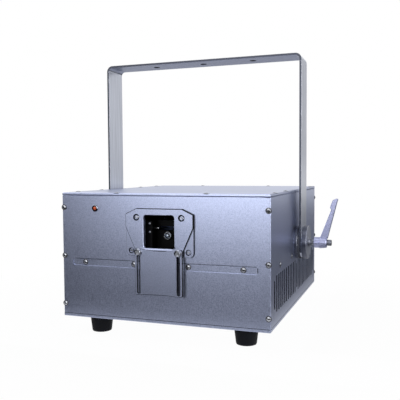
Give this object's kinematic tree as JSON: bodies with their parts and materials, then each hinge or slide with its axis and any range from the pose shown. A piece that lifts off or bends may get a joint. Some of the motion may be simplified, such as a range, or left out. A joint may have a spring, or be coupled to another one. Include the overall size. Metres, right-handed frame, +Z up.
{
  "type": "laser show projector",
  "caption": "Plate-built laser show projector on rubber feet, with a swivelling U-bracket, clamping levers and a sliding beam mask under its window",
  "frame": {"origin": "on the floor under the middle of the case, between the four feet", "axes": "+Z is up, the beam leaves towards -Y, +X is the right-hand side seen from the front"},
  "size_m": [0.5376, 0.4924, 0.5122],
  "materials": {
    "anodised_case": "silver anodised plate, fine matt grain",
    "bracket_steel": "brushed stainless strip",
    "turned_aluminium": "turned and satin",
    "friction_fibre": "dark pressed fibre",
    "foot_rubber": "matt black",
    "cast_lever": "silver powder coat over a zinc casting",
    "blackened_steel": "dark oiled steel",
    "lamp_chrome": "bright plated",
    "lamp_amber": "glossy orange-red",
    "black_anodised": "black anodised",
    "spring_steel": "ground",
    "first_surface_mirror": "optical coating",
    "circuit_laminate": "solder mask",
    "zinc_plate": "plated sheet and die casting",
    "black_plastic": "moulded",
    "contact_brass": "bright",
    "display_glass": "smoked"
  },
  "bodies": {
    "housing": {"bottom_plate": "anodised_case", "top_cover": "anodised_case", "front_panel": "anodised_case", "rear_panel": "anodised_case", "left_side_panel": "anodised_case", "right_side_panel": "anodised_case", "rubber_feet": "foot_rubber", "aperture_base_plate": "anodised_case", "aperture_guide_plate": "anodised_case", "lamp_bezel": "lamp_chrome", "lamp_lens": "lamp_amber", "pivot_spacers": "turned_aluminium", "friction_washers": "friction_fibre", "optical_deck": "turned_aluminium", "laser_modules": "turned_aluminium", "mirror_posts": "turned_aluminium", "combining_mirrors": "first_surface_mirror", "scanner_block": "black_anodised", "scanner_motors": "black_anodised", "circuit_boards": "circuit_laminate", "board_standoffs": "spring_steel", "power_supply": "zinc_plate", "fan_frames": "black_plastic", "power_inlet": "black_plastic", "inlet_pins": "contact_brass", "power_switch_frame": "black_plastic", "key_switch_nut": "lamp_chrome", "dmx_input": "zinc_plate", "dmx_output": "zinc_plate", "ilda_input": "zinc_plate", "ilda_output": "zinc_plate", "display_window": "display_glass"},
    "bracket": {"u_bracket": "bracket_steel", "clamp_discs": "turned_aluminium"},
    "left_clamp": {"left_clamp_screw": "blackened_steel"},
    "right_clamp": {"right_clamp_screw": "blackened_steel"},
    "left_lever": {"left_lever": "cast_lever"},
    "right_lever": {"right_lever": "cast_lever"},
    "beam_mask": {"beam_mask": "anodised_case"},
    "left_thumbscrew": {"left_thumbscrew": "blackened_steel"},
    "right_thumbscrew": {"right_thumbscrew": "blackened_steel"},
    "x_scanner": {"x_scan_mirror_shaft": "spring_steel", "x_scan_mirror": "first_surface_mirror"},
    "y_scanner": {"y_scan_mirror_shaft": "spring_steel", "y_scan_mirror": "first_surface_mirror"},
    "left_fan": {"left_fan_rotor": "black_plastic"},
    "right_fan": {"right_fan_rotor": "black_plastic"},
    "key": {"key_barrel": "lamp_chrome", "switch_key": "lamp_chrome"},
    "power_rocker": {"power_rocker": "black_plastic"},
    "menu_button_1": {"menu_button_1": "black_plastic"},
    "menu_button_2": {"menu_button_2": "black_plastic"},
    "menu_button_3": {"menu_button_3": "black_plastic"},
    "menu_button_4": {"menu_button_4": "black_plastic"}
  },
  "joints": [
    {"name": "bracket_tilt", "type": "hinge", "parent": "housing", "child": "bracket", "pos_m": [0, 0, 0.1538], "axis": [1, 0, 0], "range_deg": [-105, 105]},
    {"name": "left_clamp_turn", "type": "hinge", "parent": "housing", "child": "left_clamp", "pos_m": [-0.2, 0, 0.1538], "axis": [1, 0, 0], "continuous": true},
    {"name": "right_clamp_turn", "type": "hinge", "parent": "housing", "child": "right_clamp", "pos_m": [0.2, 0, 0.1538], "axis": [1, 0, 0], "continuous": true},
    {"name": "left_lever_lift", "type": "slide", "parent": "left_clamp", "child": "left_lever", "axis": [-1, 0, 0], "range_m": [0, 0.0055], "stiffness_N_per_m": 1500},
    {"name": "right_lever_lift", "type": "slide", "parent": "right_clamp", "child": "right_lever", "axis": [1, 0, 0], "range_m": [0, 0.0055], "stiffness_N_per_m": 1500},
    {"name": "mask_slide", "type": "slide", "parent": "housing", "child": "beam_mask", "axis": [0, 0, 1], "range_m": [0, 0.0685]},
    {"name": "left_thumbscrew_turn", "type": "hinge", "parent": "housing", "child": "left_thumbscrew", "pos_m": [-0.0363, -0.238, 0.1569], "axis": [0, 1, 0], "continuous": true},
    {"name": "right_thumbscrew_turn", "type": "hinge", "parent": "housing", "child": "right_thumbscrew", "pos_m": [0.0363, -0.238, 0.1569], "axis": [0, 1, 0], "continuous": true},
    {"name": "x_scan", "type": "hinge", "parent": "housing", "child": "x_scanner", "pos_m": [0.0025, -0.2, 0.1815], "axis": [0, 1, 0], "range_deg": [-12, 12]},
    {"name": "y_scan", "type": "hinge", "parent": "housing", "child": "y_scanner", "pos_m": [-0.012, -0.204, 0.1945], "axis": [1, 0, 0], "range_deg": [-12, 12]},
    {"name": "left_fan_spin", "type": "hinge", "parent": "housing", "child": "left_fan", "pos_m": [-0.08, 0.21, 0.0835], "axis": [0, 1, 0], "continuous": true},
    {"name": "right_fan_spin", "type": "hinge", "parent": "housing", "child": "right_fan", "pos_m": [0.08, 0.21, 0.0835], "axis": [0, 1, 0], "continuous": true},
    {"name": "key_turn", "type": "hinge", "parent": "housing", "child": "key", "pos_m": [0.124, 0.23, 0.2275], "axis": [0, 1, 0], "range_deg": [0, 90]},
    {"name": "rocker_tip", "type": "hinge", "parent": "housing", "child": "power_rocker", "pos_m": [-0.092, 0.2275, 0.172], "axis": [1, 0, 0], "range_deg": [-16, 0]},
    {"name": "menu_button_1_press", "type": "slide", "parent": "housing", "child": "menu_button_1", "axis": [0, -1, 0], "range_m": [0, 0.0015], "stiffness_N_per_m": 800},
    {"name": "menu_button_2_press", "type": "slide", "parent": "housing", "child": "menu_button_2", "axis": [0, -1, 0], "range_m": [0, 0.0015], "stiffness_N_per_m": 800},
    {"name": "menu_button_3_press", "type": "slide", "parent": "housing", "child": "menu_button_3", "axis": [0, -1, 0], "range_m": [0, 0.0015], "stiffness_N_per_m": 800},
    {"name": "menu_button_4_press", "type": "slide", "parent": "housing", "child": "menu_button_4", "axis": [0, -1, 0], "range_m": [0, 0.0015], "stiffness_N_per_m": 800}
  ]
}
